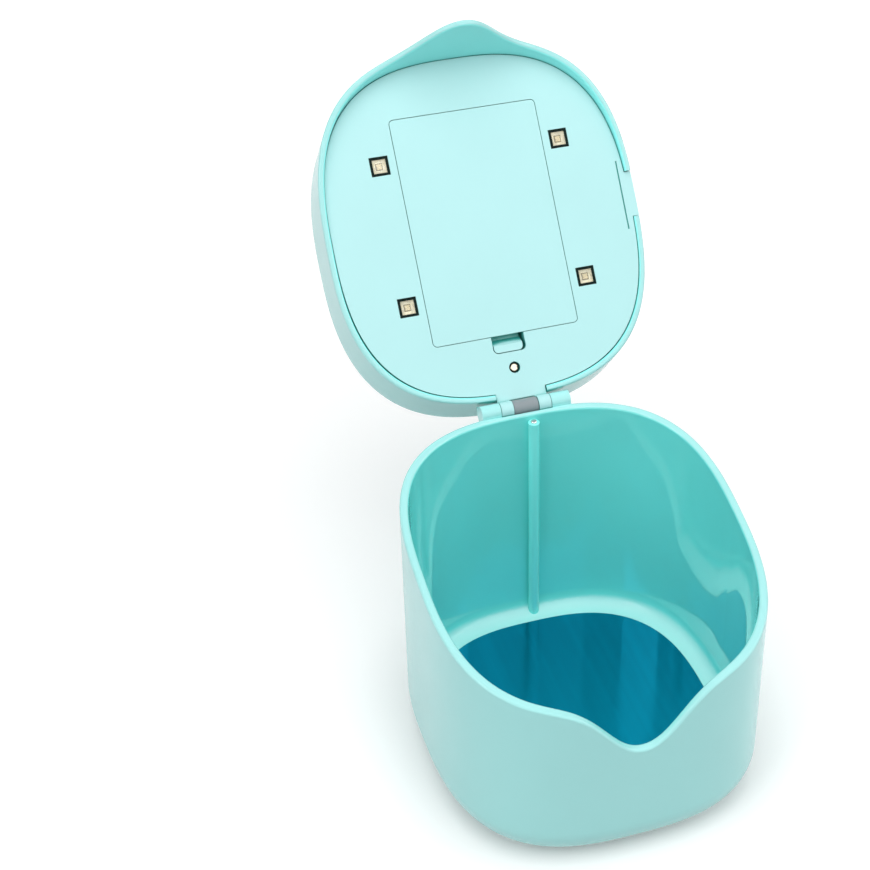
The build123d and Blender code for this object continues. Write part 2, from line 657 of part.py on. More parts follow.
def panel_cuts():
    """Openings and marks in the flat of the panel, in the panel frame."""
    cuts = door_opening(SEAM_GAP, 0, DOOR_BACK + DOOR_REST_GAP)
    cuts += box(-TRAY_HALF_WIDTH, TRAY_HALF_WIDTH, TRAY_FRONT_Y, TRAY_BACK_Y, 0, TRAY_ROOF_INNER)
    cuts += finger_notch() + hook_slots()
    for x, y in lamp_places():
        hole = GASKET_SIZE + 2 * GASKET_GAP
        cuts += Pos(x, y, PANEL_BACK / 2) * Box(hole, hole, PANEL_BACK * 2)
    screw_y = -PANEL_SCREW_AHEAD
    cuts += post(PANEL_SCREW_X, screw_y, 0, FACE + PANEL_SCREW_RECESS + SCREW_HEAD_HEIGHT,
                 PANEL_SCREW_HOLE_RADIUS)
    cuts += post(PANEL_SCREW_X, screw_y, 0, PANEL_BACK + OVERCUT, SCREW_RADIUS + RUNNING_GAP)
    line_x = PANEL_HALF_WIDTH - PANEL_LINE_INSET
    cuts += box(line_x - PANEL_LINE_SIZE / 2, line_x + PANEL_LINE_SIZE / 2,
                -PORT_AHEAD - PANEL_LINE_HALF, -PORT_AHEAD + PANEL_LINE_HALF,
                FACE - PANEL_LINE_SIZE, FACE + PANEL_LINE_SIZE)
    return cuts


def panel_screw():
    """Small slotted screw that holds the panel beside the hinge."""
    x, y = PANEL_SCREW_X, -PANEL_SCREW_AHEAD
    head_low = FACE + PANEL_SCREW_RECESS
    head = post(x, y, head_low, head_low + SCREW_HEAD_HEIGHT, PANEL_SCREW_HEAD_RADIUS)
    head = fillet(head.edges().group_by(Axis.Z)[0], SCREW_HEAD_HEIGHT / 3)
    head -= Pos(x, y, head_low) * Box(FAR, SCREW_SLOT_WIDTH, 2 * SCREW_SLOT_DEPTH)
    shank = post(x, y, head_low + SCREW_HEAD_HEIGHT / 2, panel_screw_tip(), SCREW_RADIUS)
    return in_lid(head + shank)


# ---- lamps --------------------------------------------------------------------------
def lamp_places():
    """Centres of the four lamps in the panel frame."""
    places = []
    for ahead in (LED_AHEAD_BACK, LED_AHEAD_FRONT):
        for side in (-1, 1):
            places.append((side * LED_X, -ahead))
    return places


def uv_lamp(x, y):
    """Square lamp package with a round cavity and a seat for its glass."""
    low = FACE + LED_RECESS
    body = box(x - LED_SIZE / 2, x + LED_SIZE / 2, y - LED_SIZE / 2, y + LED_SIZE / 2,
               low, LAMP_BOARD_Z)
    seat = LED_GLASS_SIZE + 2 * GASKET_GAP
    body -= Pos(x, y, low) * Box(seat, seat, 2 * LED_GLASS_THICKNESS)
    body -= post(x, y, low, low + LED_CAVITY_DEPTH, LED_CAVITY_RADIUS)
    return in_lid(body)


def lamp_glass(x, y):
    """Quartz window of one lamp."""
    low = FACE + LED_RECESS
    half = LED_GLASS_SIZE / 2
    return in_lid(box(x - half, x + half, y - half, y + half, low, low + LED_GLASS_THICKNESS))


def lamp_gasket(x, y):
    """Black square frame around one lamp."""
    half = GASKET_SIZE / 2
    frame = box(x - half, x + half, y - half, y + half, FACE, PANEL_BACK)
    hole = LED_SIZE / 2 + GASKET_GAP
    mouth = LED_SIZE / 2 - GASKET_LIP
    frame -= box(x - hole, x + hole, y - hole, y + hole, FACE + GASKET_LIP_THICKNESS, FAR)
    return in_lid(frame - box(x - mouth, x + mouth, y - mouth, y + mouth, 0, FAR))


# ---- battery compartment ------------------------------------------------------------
def door_latch():
    """Springy latch behind the door's back edge: a leg, a bend and a finger pad."""
    edge = -DOOR_AHEAD_BACK
    root = FACE + DOOR_THICKNESS / 2
    valley = FACE + LATCH_VALLEY_DEPTH
    bottom = FACE + LATCH_DEPTH
    pad_top = FACE + LATCH_RECESS
    nose = edge + NOTCH_LENGTH - LATCH_END_GAP
    side = make_face(Polyline(
        (edge - LATCH_LEG, root), (edge - LATCH_LEG, valley), (edge, bottom),
        (edge + LATCH_LEG + LATCH_BEND, bottom), (nose, FACE + LATCH_NOSE), (nose, pad_top),
        (edge + LATCH_VALLEY_LENGTH, pad_top), (edge + LATCH_LEG, valley), (edge, valley),
        (edge, root), close=True))
    latch = Pos(LATCH_X - LATCH_WIDTH / 2, 0, 0) * extrude(Plane.YZ * side, LATCH_WIDTH)
    plan = RectangleRounded(LATCH_WIDTH, 2 * (nose - edge), LATCH_CORNER)
    return latch & Pos(LATCH_X, edge, 0) * extrude(plan, FAR)


def battery_door():
    """Snap-in door with two hooks at its front edge and a latch at its back edge."""
    door = door_opening(0, FACE, DOOR_BACK)
    hook_low = PANEL_BACK + DOOR_REST_GAP
    ledge = -DOOR_AHEAD_FRONT + TRAY_END_LEDGE
    for side in (-1, 1):
        low, high = side * HOOK_X - HOOK_WIDTH / 2, side * HOOK_X + HOOK_WIDTH / 2
        door += box(low, high, -DOOR_AHEAD_FRONT - HOOK_LENGTH, ledge + HOOK_THICKNESS,
                    hook_low, hook_low + HOOK_THICKNESS)
        door += box(low, high, ledge + SEAM_GAP, ledge + HOOK_THICKNESS,
                    FACE + DOOR_THICKNESS / 2, hook_low + HOOK_THICKNESS)
    return in_lid(door + door_latch())


def cell_places():
    """Centre line, direction of the positive end and spring end of each cell."""
    return ((-CELL_PITCH, -1), (0.0, 1), (CELL_PITCH, -1))


def contact_depth_y(front):
    """Middle of the contact plates at one end of the tray."""
    offset = CONTACT_GAP + CONTACT_THICKNESS / 2
    return TRAY_FRONT_Y + offset if front else TRAY_BACK_Y - offset


def spring_length():
    inner = (TRAY_BACK_Y - TRAY_FRONT_Y) - 2 * (CONTACT_THICKNESS + CONTACT_GAP)
    return inner - CELL_LENGTH - 3 * SPRING_SEAT


def cell_span(direction):
    """Lowest and highest Y of a cell whose positive end points along direction."""
    face = CONTACT_THICKNESS + CONTACT_GAP + SPRING_SEAT
    if direction < 0:
        low = TRAY_FRONT_Y + face
        return low, low + CELL_LENGTH
    high = TRAY_BACK_Y - face
    return high - CELL_LENGTH, high


def aaa_cell(x, direction):
    """AAA cell: a can with a raised positive end."""
    low, high = cell_span(direction)
    can_low = low + CELL_NUB_LENGTH if direction < 0 else low
    can_high = high - CELL_NUB_LENGTH if direction > 0 else high
    along = Rot(X=90)
    can = Pos(x, (can_low + can_high) / 2, CELL_Z) * along * Cylinder(CELL_RADIUS, can_high - can_low)
    can = fillet(can.edges().filter_by(GeomType.CIRCLE), CELL_BODY_ROUND)
    nub_center = can_low if direction < 0 else can_high
    nub = Pos(x, nub_center, CELL_Z) * along * Cylinder(CELL_NUB_RADIUS, 2 * CELL_NUB_LENGTH)
    return in_lid(can + nub)


def contact_places():
    """Middle X, Y and width of each contact plate."""
    both = CELL_PITCH + CONTACT_WIDTH
    return (
        (-CELL_PITCH, contact_depth_y(False), CONTACT_WIDTH),
        (CELL_PITCH / 2, contact_depth_y(False), both),
        (-CELL_PITCH / 2, contact_depth_y(True), both),
        (CELL_PITCH, contact_depth_y(True), CONTACT_WIDTH),
    )


def contact_plate(x, y, width):
    """Sprung-steel contact plate with a solder tab through the tray's roof."""
    half = CONTACT_THICKNESS / 2
    low = CELL_Z - CONTACT_HEIGHT / 2
    plate = box(x - width / 2, x + width / 2, y - half, y + half, low, low + CONTACT_HEIGHT)
    plate += box(x - CONTACT_TAB_WIDTH / 2, x + CONTACT_TAB_WIDTH / 2, y - half, y + half,
                 low + CONTACT_HEIGHT - SINK, MAIN_BOARD_TOP + CONTACT_TAB_PROUD)
    return in_lid(plate)


def cell_spring(x, direction):
    """Coil that presses a cell's negative end."""
    length = spring_length()
    low, high = cell_span(direction)
    start = high + SPRING_SEAT if direction < 0 else low - SPRING_SEAT - length
    rise = length - SPRING_WIRE
    path = Helix(pitch=rise / SPRING_TURNS, height=rise, radius=SPRING_RADIUS)
    section = Plane(origin=path @ 0, z_dir=path % 0) * Circle(SPRING_WIRE / 2)
    coil = sweep(section, path=path)
    return in_lid(Pos(x, start + SPRING_WIRE / 2, CELL_Z) * Rot(X=-90) * coil)


# ---- boards -------------------------------------------------------------------------
def board_plan_limit():
    """The room for boards inside the shell, in the shut case."""
    inset = LID_WALL + BOARD_MARGIN
    return prism(LID_HALF_WIDTH - inset, LID_HALF_DEPTH - inset, LID_CENTER_Y, 0, TALL)


def lamp_board(side):
    """Board beside the battery tray that carries two lamps; the right one is longer."""
    low_x, high_x = sorted((side * LAMP_BOARD_INNER_X, side * LID_HALF_WIDTH))
    board = box(low_x, high_x, -LAMP_BOARD_FRONT, -LAMP_BOARD_BACK, LAMP_BOARD_Z, LAMP_BOARD_TOP)
    if side > 0:
        board += box(LAMP_BOARD_INNER_X, LID_HALF_WIDTH, -LAMP_BOARD_BACK, -SENSOR_TOE_BACK,
                     LAMP_BOARD_Z, LAMP_BOARD_TOP)
        toe_front = min(SENSOR_TOE_FRONT, -TRAY_BACK_Y - TRAY_END_WALL - SEAM_GAP)
        board += box(SENSOR_TOE_X, LAMP_BOARD_INNER_X, -toe_front, -SENSOR_TOE_BACK,
                     LAMP_BOARD_Z, LAMP_BOARD_TOP)
    for ahead in STAKE_AHEADS:
        board -= post(side * STAKE_X, -ahead, 0, FAR, STAKE_RADIUS + BOARD_GAP)
    for place in HEADER_POSITIONS:
        board -= header_hole(side, place)
    return swing_open(from_panel(board) & board_plan_limit())


def header_hole(side, place):
    y = -HEADER_AHEAD + place * HEADER_PITCH
    return post(side * HEADER_X, y, 0, FAR, HEADER_PIN)


def header_pins(side):
    """Three pins that join a lamp board to the main board."""
    pins = []
    for place in HEADER_POSITIONS:
        y = -HEADER_AHEAD + place * HEADER_PITCH
        half = HEADER_PIN / 2
        x = side * HEADER_X
        pin = box(x - half, x + half, y - half, y + half, LAMP_BOARD_Z,
                  MAIN_BOARD_TOP + HEADER_PROUD)
        pin += post(x, y, LAMP_BOARD_TOP, LAMP_BOARD_TOP + HEADER_COLLAR_HEIGHT,
                    HEADER_COLLAR_RADIUS)
        pins.append(in_lid(pin))
    return Compound(children=pins)


def main_board():
    """Control board on top of the battery tray."""
    half = MAIN_BOARD_HALF_WIDTH
    board = box(-half, half, -MAIN_BOARD_FRONT, -MAIN_BOARD_BACK, MAIN_BOARD_Z, MAIN_BOARD_TOP)
    for side in (-1, 1):
        for ahead in BOARD_SCREW_AHEADS:
            board -= post(side * BOARD_SCREW_X, -ahead, 0, FAR, SCREW_RADIUS + RUNNING_GAP)
        for place in HEADER_POSITIONS:
            board -= header_hole(side, place)
    board -= contact_slots()
    return in_lid(board)


def board_screw_holes():
    holes = None
    for side in (-1, 1):
        for ahead in BOARD_SCREW_AHEADS:
            hole = post(side * BOARD_SCREW_X, -ahead, TRAY_ROOF_INNER + RUNNING_GAP, FAR, SCREW_RADIUS)
            holes = hole if holes is None else holes + hole
    return holes


def board_screws():
    """Four equal screws that hold the main board on the tray."""
    screws = []
    for side in (-1, 1):
        for ahead in BOARD_SCREW_AHEADS:
            x, y = side * BOARD_SCREW_X, -ahead
            head_top = MAIN_BOARD_TOP + SCREW_HEAD_HEIGHT
            screw = post(x, y, TRAY_ROOF_INNER + 2 * RUNNING_GAP, MAIN_BOARD_TOP, SCREW_RADIUS)
            screw += post(x, y, MAIN_BOARD_TOP, head_top, SCREW_HEAD_RADIUS)
            screw -= Pos(x, y, head_top) * Box(FAR, SCREW_SLOT_WIDTH, 2 * SCREW_SLOT_DEPTH)
            screws.append(in_lid(screw))
    return Compound(children=screws)


def on_board(x, ahead, size, board_top):
    """A block-shaped component standing on a board."""
    width, length, height = size
    return Pos(x, -ahead, board_top + height / 2) * Box(width, length, height)


def control_chip():
    return in_lid(on_board(CHIP_X, CHIP_AHEAD, CHIP_SIZE, MAIN_BOARD_TOP))


def boost_inductor():
    block = on_board(INDUCTOR_X, INDUCTOR_AHEAD, INDUCTOR_SIZE, MAIN_BOARD_TOP)
    return in_lid(fillet(block.edges().filter_by(Axis.Z), INDUCTOR_CORNER))


def board_capacitors():
    blocks = []
    for number in range(CAPACITOR_COUNT):
        ahead = CAPACITOR_FIRST_AHEAD + number * CAPACITOR_STEP
        blocks.append(in_lid(on_board(CAPACITOR_X, ahead, CAPACITOR_SIZE, MAIN_BOARD_TOP)))
    return Compound(children=blocks)


def lid_sensor():
    """Magnetic switch on the toe of the right lamp board."""
    ahead = (SENSOR_TOE_BACK + SENSOR_TOE_FRONT) / 2
    return in_lid(on_board(SENSOR_X, ahead, SENSOR_SIZE, LAMP_BOARD_TOP))


def indicator_lamp():
    ahead = -CROWN_Y + LENS_FROM_BUTTON
    return in_lid(on_board(0, ahead, INDICATOR_SIZE, MAIN_BOARD_TOP))


# ---- port ---------------------------------------------------------------------------
def port_outer_x():
    """Where the socket's mouth stands, just inside the right-hand wall's outer face."""
    return LID_HALF_WIDTH - PORT_RECESS


def usb_socket():
    """Folded metal shell of the charging socket."""
    mouth = port_outer_x()
    outer = extrude(Plane.YZ * SlotOverall(PORT_WIDTH, PORT_HEIGHT), PORT_DEPTH)
    inner = extrude(Plane.YZ * SlotOverall(PORT_WIDTH - 2 * PORT_METAL, PORT_HEIGHT - 2 * PORT_METAL),
                    PORT_DEPTH)
    shell = outer - Pos(PORT_METAL * 2, 0, 0) * inner
    return in_lid(Pos(mouth - PORT_DEPTH, -PORT_AHEAD, PORT_Z) * shell)


def usb_tongue():
    """Contact tongue inside the socket."""
    depth, width, thickness = PORT_TONGUE
    low = port_outer_x() - PORT_DEPTH + 2 * PORT_METAL
    return in_lid(box(low, low + depth, -PORT_AHEAD - width / 2, -PORT_AHEAD + width / 2,
                      PORT_Z - thickness / 2, PORT_Z + thickness / 2))


# ---- power button -------------------------------------------------------------------
def crown_depth(distance, inset):
    """Depth of the crown, or of its underside, at a distance from its apex."""
    radius = CROWN_RADIUS - inset
    return CROWN_APEX - CROWN_RADIUS + sqrt(radius ** 2 - distance ** 2)


def flange_top():
    return crown_depth(BUTTON_FLANGE_RADIUS, LID_TOP) - BUTTON_FLANGE_GAP


def plunger_top():
    return MAIN_BOARD_TOP + SWITCH_HEIGHT + PLUNGER_PROUD


def power_button():
    """Dished round button with a retaining flange and a stem."""
    top = CROWN_APEX + BUTTON_PROUD
    low = flange_top() - BUTTON_FLANGE_THICKNESS
    cap = post(0, CROWN_Y, low, top, BUTTON_RADIUS)
    cap = fillet(cap.edges().group_by(Axis.Z)[-1], BUTTON_PROUD)
    cap -= Pos(0, CROWN_Y, top - BUTTON_DISH_DEPTH + BUTTON_DISH_RADIUS) * Sphere(BUTTON_DISH_RADIUS)
    cap += post(0, CROWN_Y, low, flange_top(), BUTTON_FLANGE_RADIUS)
    cap += post(0, CROWN_Y, plunger_top() + TOUCH_GAP, low, BUTTON_STEM_RADIUS)
    return in_lid(cap)


def switch_plunger():
    """Moving plunger of the push switch."""
    low = MAIN_BOARD_TOP + SWITCH_HEIGHT - PLUNGER_DEPTH + BUTTON_TRAVEL + TOUCH_GAP
    return in_lid(post(0, CROWN_Y, low, plunger_top(), PLUNGER_RADIUS))


def push_switch():
    """Body of the push switch on the main board."""
    block = on_board(0, -CROWN_Y, (SWITCH_SIZE, SWITCH_SIZE, SWITCH_HEIGHT), MAIN_BOARD_TOP)
    top = MAIN_BOARD_TOP + SWITCH_HEIGHT
    return in_lid(block - post(0, CROWN_Y, top - PLUNGER_DEPTH, top + OVERCUT,
                               PLUNGER_RADIUS + PLUNGER_GAP))


def indicator_lens():
    """Light guide from the indicator lamp through the crown."""
    y = CROWN_Y - LENS_FROM_BUTTON
    low = MAIN_BOARD_TOP + INDICATOR_SIZE[2] + SEAM_GAP
    top = crown_depth(LENS_FROM_BUTTON, 0)
    under = crown_depth(LENS_FROM_BUTTON + LENS_FLANGE_RADIUS, LID_TOP) - BOARD_GAP
    lens = post(0, y, low, top, LENS_RADIUS)
    lens += post(0, y, under - LENS_FLANGE_THICKNESS, under, LENS_FLANGE_RADIUS)
    return in_lid(lens)


# ---- assembly -----------------------------------------------------------------------
def all_parts():
    """Every piece by name, as the case stands with its lid open."""
    parts = {
        "base_shell": base_shell(),
        "switch_magnet": switch_magnet(),
        "mirror_plate": mirror_plate(),
        "base_pad": base_pad(),
        "hinge_pin": hinge_pin(),
        "hinge_bush": hinge_bush(),
        "lid_shell": lid_shell(),
        "lid_panel": lid_panel(),
        "panel_screw": panel_screw(),
        "battery_door": battery_door(),
        "main_board": main_board(),
        "board_screws": board_screws(),
        "left_lamp_board": lamp_board(-1),
        "right_lamp_board": lamp_board(1),
        "left_header_pins": header_pins(-1),
        "right_header_pins": header_pins(1),
        "control_chip": control_chip(),
        "boost_inductor": boost_inductor(),
        "board_capacitors": board_capacitors(),
        "lid_sensor": lid_sensor(),
        "indicator_lamp": indicator_lamp(),
        "indicator_lens": indicator_lens(),
        "push_switch": push_switch(),
        "switch_plunger": switch_plunger(),
        "power_button": power_button(),
        "usb_socket": usb_socket(),
        "usb_tongue": usb_tongue(),
    }
    for number, (x, y) in enumerate(lamp_places(), start=1):
        parts[f"uv_lamp_{number}"] = uv_lamp(x, y)
        parts[f"lamp_glass_{number}"] = lamp_glass(x, y)
        parts[f"lamp_gasket_{number}"] = lamp_gasket(x, y)
    for number, (x, direction) in enumerate(cell_places(), start=1):
        parts[f"aaa_cell_{number}"] = aaa_cell(x, direction)
        parts[f"cell_spring_{number}"] = cell_spring(x, direction)
    for number, place in enumerate(contact_places(), start=1):
        parts[f"contact_plate_{number}"] = contact_plate(*place)
    return parts


os.makedirs("parts", exist_ok=True)
for name, solid in all_parts().items():
    export_step(solid, f"parts/{name}.step")
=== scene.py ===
"""Looks of the pacifier sterilizer case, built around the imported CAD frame. Metres."""

import json
from math import cos, pi, radians, sin

import bmesh
import bpy
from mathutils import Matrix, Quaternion, Vector


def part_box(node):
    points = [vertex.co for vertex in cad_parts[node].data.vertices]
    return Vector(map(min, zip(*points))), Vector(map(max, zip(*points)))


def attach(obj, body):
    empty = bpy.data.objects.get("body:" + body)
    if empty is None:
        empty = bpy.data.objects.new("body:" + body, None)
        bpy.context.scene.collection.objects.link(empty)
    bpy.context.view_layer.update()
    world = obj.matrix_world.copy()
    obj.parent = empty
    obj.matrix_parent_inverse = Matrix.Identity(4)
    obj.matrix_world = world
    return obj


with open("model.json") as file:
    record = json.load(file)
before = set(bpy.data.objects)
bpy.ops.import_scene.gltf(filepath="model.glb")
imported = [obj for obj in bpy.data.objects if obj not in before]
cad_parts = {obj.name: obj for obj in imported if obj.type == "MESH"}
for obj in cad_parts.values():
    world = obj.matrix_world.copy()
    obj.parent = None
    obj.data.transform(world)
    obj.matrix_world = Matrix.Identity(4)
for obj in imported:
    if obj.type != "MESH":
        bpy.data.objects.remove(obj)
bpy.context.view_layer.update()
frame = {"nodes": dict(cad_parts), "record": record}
NODES = frame["nodes"]
MM = 0.001
WHITE = (1, 1, 1, 1)
PANEL_AHEAD = Vector((0, 0.62251, 0.78261))
PANEL_OUT = Vector((0, -0.78261, 0.62251))
SIDE = Vector((1, 0, 0))

# ---- camera -------------------------------------------------------------------------
IMAGE_SIZE = 870
FOCAL_PIXELS = 2015.9
CENTER_PIXEL_X = 559.1
CENTER_PIXEL_Y = 476.4
SENSOR_WIDTH = 36
NEAREST = 0.01
FARTHEST = 20
CAMERA_AZIMUTH = -19.54
CAMERA_ELEVATION = 37.81
CAMERA_ROLL = 0.68
CAMERA_DISTANCE = 451.6 * MM
CAMERA_TARGET = Vector((0, 15.8, 64.3)) * MM


def view_back(azimuth, elevation):
    """Direction from the object towards a camera at that azimuth and elevation."""
    a, e = radians(azimuth), radians(elevation)
    return Vector((sin(a) * cos(e), -cos(a) * cos(e), sin(e)))


def in_scene(name, data):
    """A new object that holds the data, in the scene."""
    thing = bpy.data.objects.new(name, data)
    bpy.context.scene.collection.objects.link(thing)
    return thing


def make_camera():
    data = bpy.data.cameras.new("camera")
    data.sensor_width = SENSOR_WIDTH
    data.lens = FOCAL_PIXELS / IMAGE_SIZE * SENSOR_WIDTH
    data.shift_x = 0.5 - CENTER_PIXEL_X / IMAGE_SIZE
    data.shift_y = CENTER_PIXEL_Y / IMAGE_SIZE - 0.5
    data.clip_start = NEAREST
    data.clip_end = FARTHEST
    camera = in_scene("camera", data)
    back = view_back(CAMERA_AZIMUTH, CAMERA_ELEVATION)
    camera.location = CAMERA_TARGET + back * CAMERA_DISTANCE
    turn = (-back).to_track_quat("-Z", "Y")
    camera.rotation_mode = "QUATERNION"
    camera.rotation_quaternion = turn @ Quaternion((0, 0, 1), radians(CAMERA_ROLL))
    bpy.context.scene.camera = camera


# ---- shader nodes -------------------------------------------------------------------
def feed(tree, socket, value):
    """Links a node's output to the socket, or sets a plain value on it."""
    if isinstance(value, bpy.types.NodeSocket):
        tree.links.new(value, socket)
    else:
        socket.default_value = value


def math(tree, operation, *values):
    """A number from numbers; each is a socket or a plain value."""
    node = tree.nodes.new("ShaderNodeMath")
    node.operation = operation
    for socket, value in zip(node.inputs, values):
        feed(tree, socket, value)
    return node.outputs[0]


def vector_math(tree, operation, *values):
    """A vector from vectors, or a number where the operation gives a length or a dot product."""
    node = tree.nodes.new("ShaderNodeVectorMath")
    node.operation = operation
    for socket, value in zip(node.inputs, values):
        feed(tree, socket, value)
    return node.outputs["Value" if operation in ("LENGTH", "DOT_PRODUCT") else "Vector"]


def split(tree, vector):
    node = tree.nodes.new("ShaderNodeSeparateXYZ")
    tree.links.new(vector, node.inputs[0])
    return node.outputs


def ramp(tree, value, low, high):
    """Low where the value is 0, high where it is 1."""
    node = tree.nodes.new("ShaderNodeMapRange")
    node.inputs["To Min"].default_value = low
    node.inputs["To Max"].default_value = high
    tree.links.new(value, node.inputs["Value"])
    return node.outputs["Result"]


def smooth(tree, value, low, high, start=0.0, end=1.0):
    """Start at low and end at high, with a soft step between; low may be the larger one."""
    node = tree.nodes.new("ShaderNodeMapRange")
    node.interpolation_type = "SMOOTHSTEP"
    node.inputs["From Min"].default_value = low
    node.inputs["From Max"].default_value = high
    node.inputs["To Min"].default_value = start
    node.inputs["To Max"].default_value = end
    tree.links.new(value, node.inputs["Value"])
    return node.outputs["Result"]


def mixed(tree, factor, first, second):
    """A colour that goes from the first to the second; each is a socket or plain RGB."""
    node = tree.nodes.new("ShaderNodeMix")
    node.data_type = "RGBA"
    tree.links.new(factor, node.inputs["Factor"])
    for name, colour in (("A", first), ("B", second)):
        feed(tree, node.inputs[name], (*colour, 1) if isinstance(colour, tuple) else colour)
    return node.outputs["Result"]


def noise(tree, place, scale, detail):
    node = tree.nodes.new("ShaderNodeTexNoise")
    node.inputs["Scale"].default_value = scale
    node.inputs["Detail"].default_value = detail
    tree.links.new(place, node.inputs["Vector"])
    return node.outputs["Fac"]


def bump(tree, shader, height, distance):
    node = tree.nodes.new("ShaderNodeBump")
    node.inputs["Strength"].default_value = 1.0
    node.inputs["Distance"].default_value = distance
    tree.links.new(height, node.inputs["Height"])
    tree.links.new(node.outputs[0], shader.inputs["Normal"])


def occlusion(tree, reach):
    """1 in the open, less where other surfaces stand within reach."""
    node = tree.nodes.new("ShaderNodeAmbientOcclusion")
    node.inputs["Distance"].default_value = reach
    return node.outputs["AO"]


# ---- lights, floor, world -----------------------------------------------------------
WORLD_LIGHT = 0.12
FLOOR_HALF = 4.0
FLOOR_BELOW = 0.2 * MM
FLOOR_GREY = 0.55
FLOOR_SHOWN = 0.98
FLOOR_LIFT = 0.16
FADE_START = 0.25
FADE_END = 1.0
CONTACT_SHADOW = 18 * MM
CONTACT_DEPTH = 0.32
STUDIO_MIDDLE = Vector((0, 10, 70)) * MM
STUDIO_LAMPS = (
    {"name": "top", "away": (-0.12, -0.3, 1.2), "side": 1.3, "watts": 12.9, "mirrored": False},
    {"name": "left", "away": (-1.25, -0.45, 0.75), "side": 1.0, "watts": 7.8, "mirrored": True},
    {"name": "right", "away": (1.25, -0.45, 0.75), "side": 1.0, "watts": 6.7, "mirrored": True},
    {"name": "front", "away": (0.396, -1.15, 0.884), "side": 1.0, "watts": 2.8, "mirrored": True},
    {"name": "back", "away": (0.2, 1.45, 0.45), "side": 1.0, "watts": 3.6, "mirrored": True},
)


def studio_lamp(name, away, side, watts, mirrored):
    """A square lamp that faces the case; unless mirrored, glossy surfaces don't show it."""
    data = bpy.data.lights.new(name, "AREA")
    data.shape = "RECTANGLE"
    data.size = side
    data.size_y = side
    data.energy = watts
    lamp = in_scene(name, data)
    lamp.location = STUDIO_MIDDLE + Vector(away)
    lamp.rotation_mode = "QUATERNION"
    lamp.rotation_quaternion = (-Vector(away)).to_track_quat("-Z", "Y")
    lamp.visible_glossy = mirrored


def make_lights():
    for lamp in STUDIO_LAMPS:
        studio_lamp(**lamp)


def background_ray(tree):
    """1 for camera, glossy and transmission rays, which should meet the white background."""
    path = tree.nodes.new("ShaderNodeLightPath")
    total = path.outputs["Is Camera Ray"]
    for name in ("Is Glossy Ray", "Is Transmission Ray"):
        total = math(tree, "MAXIMUM", total, path.outputs[name])
    return total


def shown_or_plain(tree, out, plain, shown):
    """Uses the shown shader for background rays and the plain one for light."""
    mix = tree.nodes.new("ShaderNodeMixShader")
    tree.links.new(background_ray(tree), mix.inputs["Fac"])
    tree.links.new(plain.outputs[0], mix.inputs[1])
    tree.links.new(shown.outputs[0], mix.inputs[2])
    tree.links.new(mix.outputs[0], out.inputs[0])


def make_world():
    world = bpy.data.worlds.new("studio")
    bpy.context.scene.world = world
    world.use_nodes = True
    tree = world.node_tree
    tree.nodes.clear()
    out = tree.nodes.new("ShaderNodeOutputWorld")
    light = tree.nodes.new("ShaderNodeBackground")
    light.inputs["Color"].default_value = WHITE
    light.inputs["Strength"].default_value = WORLD_LIGHT
    shown = tree.nodes.new("ShaderNodeBackground")
    shown.inputs["Color"].default_value = WHITE
    shown.inputs["Strength"].default_value = 1.0
    shown_or_plain(tree, out, light, shown)


def make_floor():
    """A floor that keeps the case's shadow and fades to plain white far away."""
    half = FLOOR_HALF
    mesh = bpy.data.meshes.new("floor")
    mesh.from_pydata([(-half, -half, 0), (half, -half, 0), (half, half, 0), (-half, half, 0)],
                     [], [(0, 1, 2, 3)])
    floor = in_scene("floor", mesh)
    floor.location.z = -FLOOR_BELOW
    material = bpy.data.materials.new("floor_white")
    material.use_nodes = True
    tree = material.node_tree
    tree.nodes.clear()
    out = tree.nodes.new("ShaderNodeOutputMaterial")
    plain = tree.nodes.new("ShaderNodeBsdfDiffuse")
    plain.inputs["Color"].default_value = (FLOOR_GREY, FLOOR_GREY, FLOOR_GREY, 1)
    shown = tree.nodes.new("ShaderNodeBsdfDiffuse")
    shade = ramp(tree, occlusion(tree, CONTACT_SHADOW), FLOOR_SHOWN - CONTACT_DEPTH, FLOOR_SHOWN)
    tree.links.new(shade, shown.inputs["Color"])
    lift = tree.nodes.new("ShaderNodeEmission")
    place = tree.nodes.new("ShaderNodeTexCoord")
    away = vector_math(tree, "LENGTH", place.outputs["Object"])
    fade = smooth(tree, away, FADE_START, FADE_END, FLOOR_LIFT, 1.0)
    tree.links.new(fade, lift.inputs["Strength"])
    both = tree.nodes.new("ShaderNodeAddShader")
    tree.links.new(shown.outputs[0], both.inputs[0])
    tree.links.new(lift.outputs[0], both.inputs[1])
    shown_or_plain(tree, out, plain, both)
    mesh.materials.append(material)


# ---- materials ----------------------------------------------------------------------
PLASTIC_IOR = 1.5
FLOW_SCALE = 55
FLOW_DETAIL = 4
FLOW_SHARE = 0.03
FINE_SCALE = 900
FINE_DETAIL = 2
GRAIN = 0.01 * MM
STEEL_GRAIN = 0.006 * MM

# painted shade in seams and narrow recesses
RECESS_REACH = 2.5 * MM
RECESS_CLOSED = 0.35
RECESS_OPEN = 0.75

# inside of the bowl: masks for its polish, its painted shade on the upright walls and its painted
# light on the ledge and post
BOWL_HALF_WIDTH = 36.1 * MM
BOWL_HALF_DEPTH = 39.2 * MM
OUTLINE_POWER = 2.75
OUTLINE_OUT = 1.1
OUTLINE_IN = 1.04
WALL_FLAT = 0.84
WALL_UPRIGHT = 0.34
LEDGE_OVER = 22 * MM
LEDGE_UNDER = 16 * MM
WALL_COAT = 0.7
WALL_COAT_ROUGH = 0.04
BOWL_GRAIN = 0.004 * MM
POST_REACH = 1.5 * MM
POST_SHOWS = 1.0 * MM
LEDGE_FLOW_SHARE = 0.02

# inner side of the lid's skirt, which gets painted light
SKIRT_EDGE = -0.25
SKIRT_FULL = -0.6

